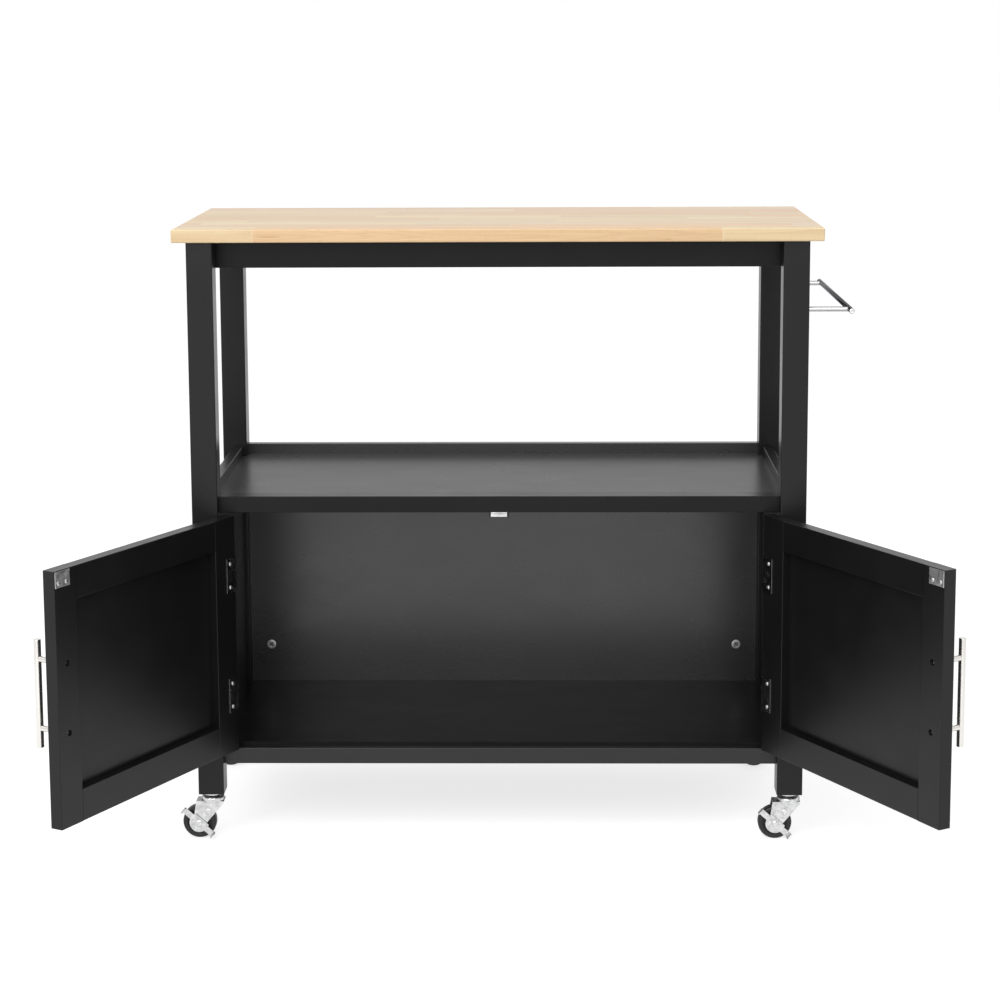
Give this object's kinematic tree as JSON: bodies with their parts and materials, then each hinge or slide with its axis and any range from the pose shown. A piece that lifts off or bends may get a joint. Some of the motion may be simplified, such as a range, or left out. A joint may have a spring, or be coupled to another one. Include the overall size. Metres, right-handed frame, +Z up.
{
  "type": "kitchen cart",
  "caption": "Rolling kitchen cart with a wooden worktop, an open shelf, a cabinet behind hinged doors, a side towel bar and swivel casters, some of them with a side brake.",
  "frame": {"origin": "on the floor under the centre of the leg frame", "axes": "+X to the right seen from the front, +Y to the back, +Z up"},
  "size_m": [1.2475, 0.7561, 0.915],
  "materials": {
    "maple": "clear satin lacquer on edge-glued pale hardwood staves",
    "black_paint": "satin black paint on wood and board",
    "zinc": "bright zinc plating",
    "nickel": "satin nickel",
    "wheel_black": "moulded black tread and core",
    "dark_plastic": "moulded dark plastic"
  },
  "bodies": {
    "cart": {"worktop": "maple", "leg_front_left": "black_paint", "leg_front_right": "black_paint", "leg_rear_left": "black_paint", "leg_rear_right": "black_paint", "top_rail_front": "black_paint", "top_rail_rear": "black_paint", "top_rail_left": "black_paint", "top_rail_right": "black_paint", "shelf_board": "black_paint", "shelf_front_rail": "black_paint", "side_panel_left": "black_paint", "side_panel_right": "black_paint", "back_panel": "black_paint", "floor_board": "black_paint", "floor_front_rail": "black_paint", "worktop_screws": "zinc", "cam_locks": "zinc", "cam_bolts": "zinc", "towel_bar": "nickel", "catch_case": "dark_plastic", "catch_poles": "zinc", "hinge_frame_leaves": "nickel", "hinge_pins": "nickel", "frame_screws": "nickel", "caster_stems": "zinc"},
    "door_left": {"door_hinge_stile_left": "black_paint", "door_free_stile_left": "black_paint", "door_top_rail_left": "black_paint", "door_bottom_rail_left": "black_paint", "door_panel_left": "black_paint", "door_hinge_leaves_left": "nickel", "door_strike_plate_left": "zinc", "door_small_screws_left": "nickel", "door_handle_left": "nickel", "door_handle_screws_left": "nickel"},
    "door_right": {"door_hinge_stile_right": "black_paint", "door_free_stile_right": "black_paint", "door_top_rail_right": "black_paint", "door_bottom_rail_right": "black_paint", "door_panel_right": "black_paint", "door_hinge_leaves_right": "nickel", "door_strike_plate_right": "zinc", "door_small_screws_right": "nickel", "door_handle_right": "nickel", "door_handle_screws_right": "nickel"},
    "fork_front_left": {"caster_fork_front_left": "zinc", "caster_axle_front_left": "zinc"},
    "wheel_front_left": {"caster_wheel_front_left": "wheel_black"},
    "brake_front_left": {"caster_brake_front_left": "zinc"},
    "fork_front_right": {"caster_fork_front_right": "zinc", "caster_axle_front_right": "zinc"},
    "wheel_front_right": {"caster_wheel_front_right": "wheel_black"},
    "brake_front_right": {"caster_brake_front_right": "zinc"},
    "fork_rear_left": {"caster_fork_rear_left": "zinc", "caster_axle_rear_left": "zinc"},
    "wheel_rear_left": {"caster_wheel_rear_left": "wheel_black"},
    "fork_rear_right": {"caster_fork_rear_right": "zinc", "caster_axle_rear_right": "zinc"},
    "wheel_rear_right": {"caster_wheel_rear_right": "wheel_black"}
  },
  "joints": [
    {"name": "door_left_hinge", "type": "hinge", "parent": "cart", "child": "door_left", "pos_m": [-0.4074, -0.1808, 0.317], "axis": [0, 0, 1], "range_deg": [-2, 118]},
    {"name": "door_right_hinge", "type": "hinge", "parent": "cart", "child": "door_right", "pos_m": [0.4074, -0.1808, 0.317], "axis": [0, 0, -1], "range_deg": [0, 120]},
    {"name": "swivel_front_left", "type": "hinge", "parent": "cart", "child": "fork_front_left", "pos_m": [-0.43, -0.1745, 0.06], "axis": [0, 0, 1], "continuous": true},
    {"name": "roll_front_left", "type": "hinge", "parent": "fork_front_left", "child": "wheel_front_left", "pos_m": [-0.45, -0.1745, 0.025], "axis": [0, 1, 0], "continuous": true},
    {"name": "brake_front_left", "type": "hinge", "parent": "fork_front_left", "child": "brake_front_left", "pos_m": [-0.45, -0.1745, 0.025], "axis": [0, -1, 0], "range_deg": [0, 22]},
    {"name": "swivel_front_right", "type": "hinge", "parent": "cart", "child": "fork_front_right", "pos_m": [0.43, -0.1745, 0.06], "axis": [0, 0, 1], "continuous": true},
    {"name": "roll_front_right", "type": "hinge", "parent": "fork_front_right", "child": "wheel_front_right", "pos_m": [0.41, -0.1745, 0.025], "axis": [0, 1, 0], "continuous": true},
    {"name": "brake_front_right", "type": "hinge", "parent": "fork_front_right", "child": "brake_front_right", "pos_m": [0.41, -0.1745, 0.025], "axis": [0, -1, 0], "range_deg": [0, 22]},
    {"name": "swivel_rear_left", "type": "hinge", "parent": "cart", "child": "fork_rear_left", "pos_m": [-0.43, 0.1745, 0.06], "axis": [0, 0, 1], "continuous": true},
    {"name": "roll_rear_left", "type": "hinge", "parent": "fork_rear_left", "child": "wheel_rear_left", "pos_m": [-0.45, 0.1745, 0.025], "axis": [0, 1, 0], "continuous": true},
    {"name": "swivel_rear_right", "type": "hinge", "parent": "cart", "child": "fork_rear_right", "pos_m": [0.43, 0.1745, 0.06], "axis": [0, 0, 1], "continuous": true},
    {"name": "roll_rear_right", "type": "hinge", "parent": "fork_rear_right", "child": "wheel_rear_right", "pos_m": [0.41, 0.1745, 0.025], "axis": [0, 1, 0], "continuous": true}
  ]
}
